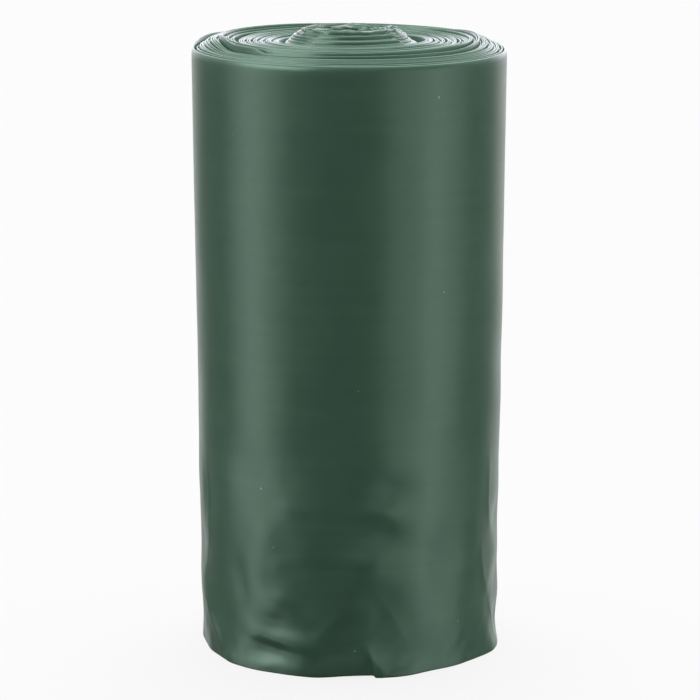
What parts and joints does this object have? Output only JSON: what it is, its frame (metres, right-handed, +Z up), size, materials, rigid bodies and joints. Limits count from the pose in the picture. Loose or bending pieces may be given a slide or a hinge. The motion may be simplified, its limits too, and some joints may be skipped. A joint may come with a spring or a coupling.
{
  "type": "roll of dog waste bags",
  "caption": "Coreless roll of thin dark green plastic film bags for dog waste, wound tight and standing on its end.",
  "frame": {"origin": "centre of the roll's lower end, on the surface it stands on", "axes": "+Z up along the roll's axis, -Y towards the viewer of the picture, +X to the viewer's right"},
  "size_m": [0.0317, 0.0318, 0.0634],
  "materials": {
    "film": "satin dark green polyethylene film, wrinkled, with long soft highlights"
  },
  "bodies": {
    "root": {"bag_roll": "film"}
  },
  "joints": []
}
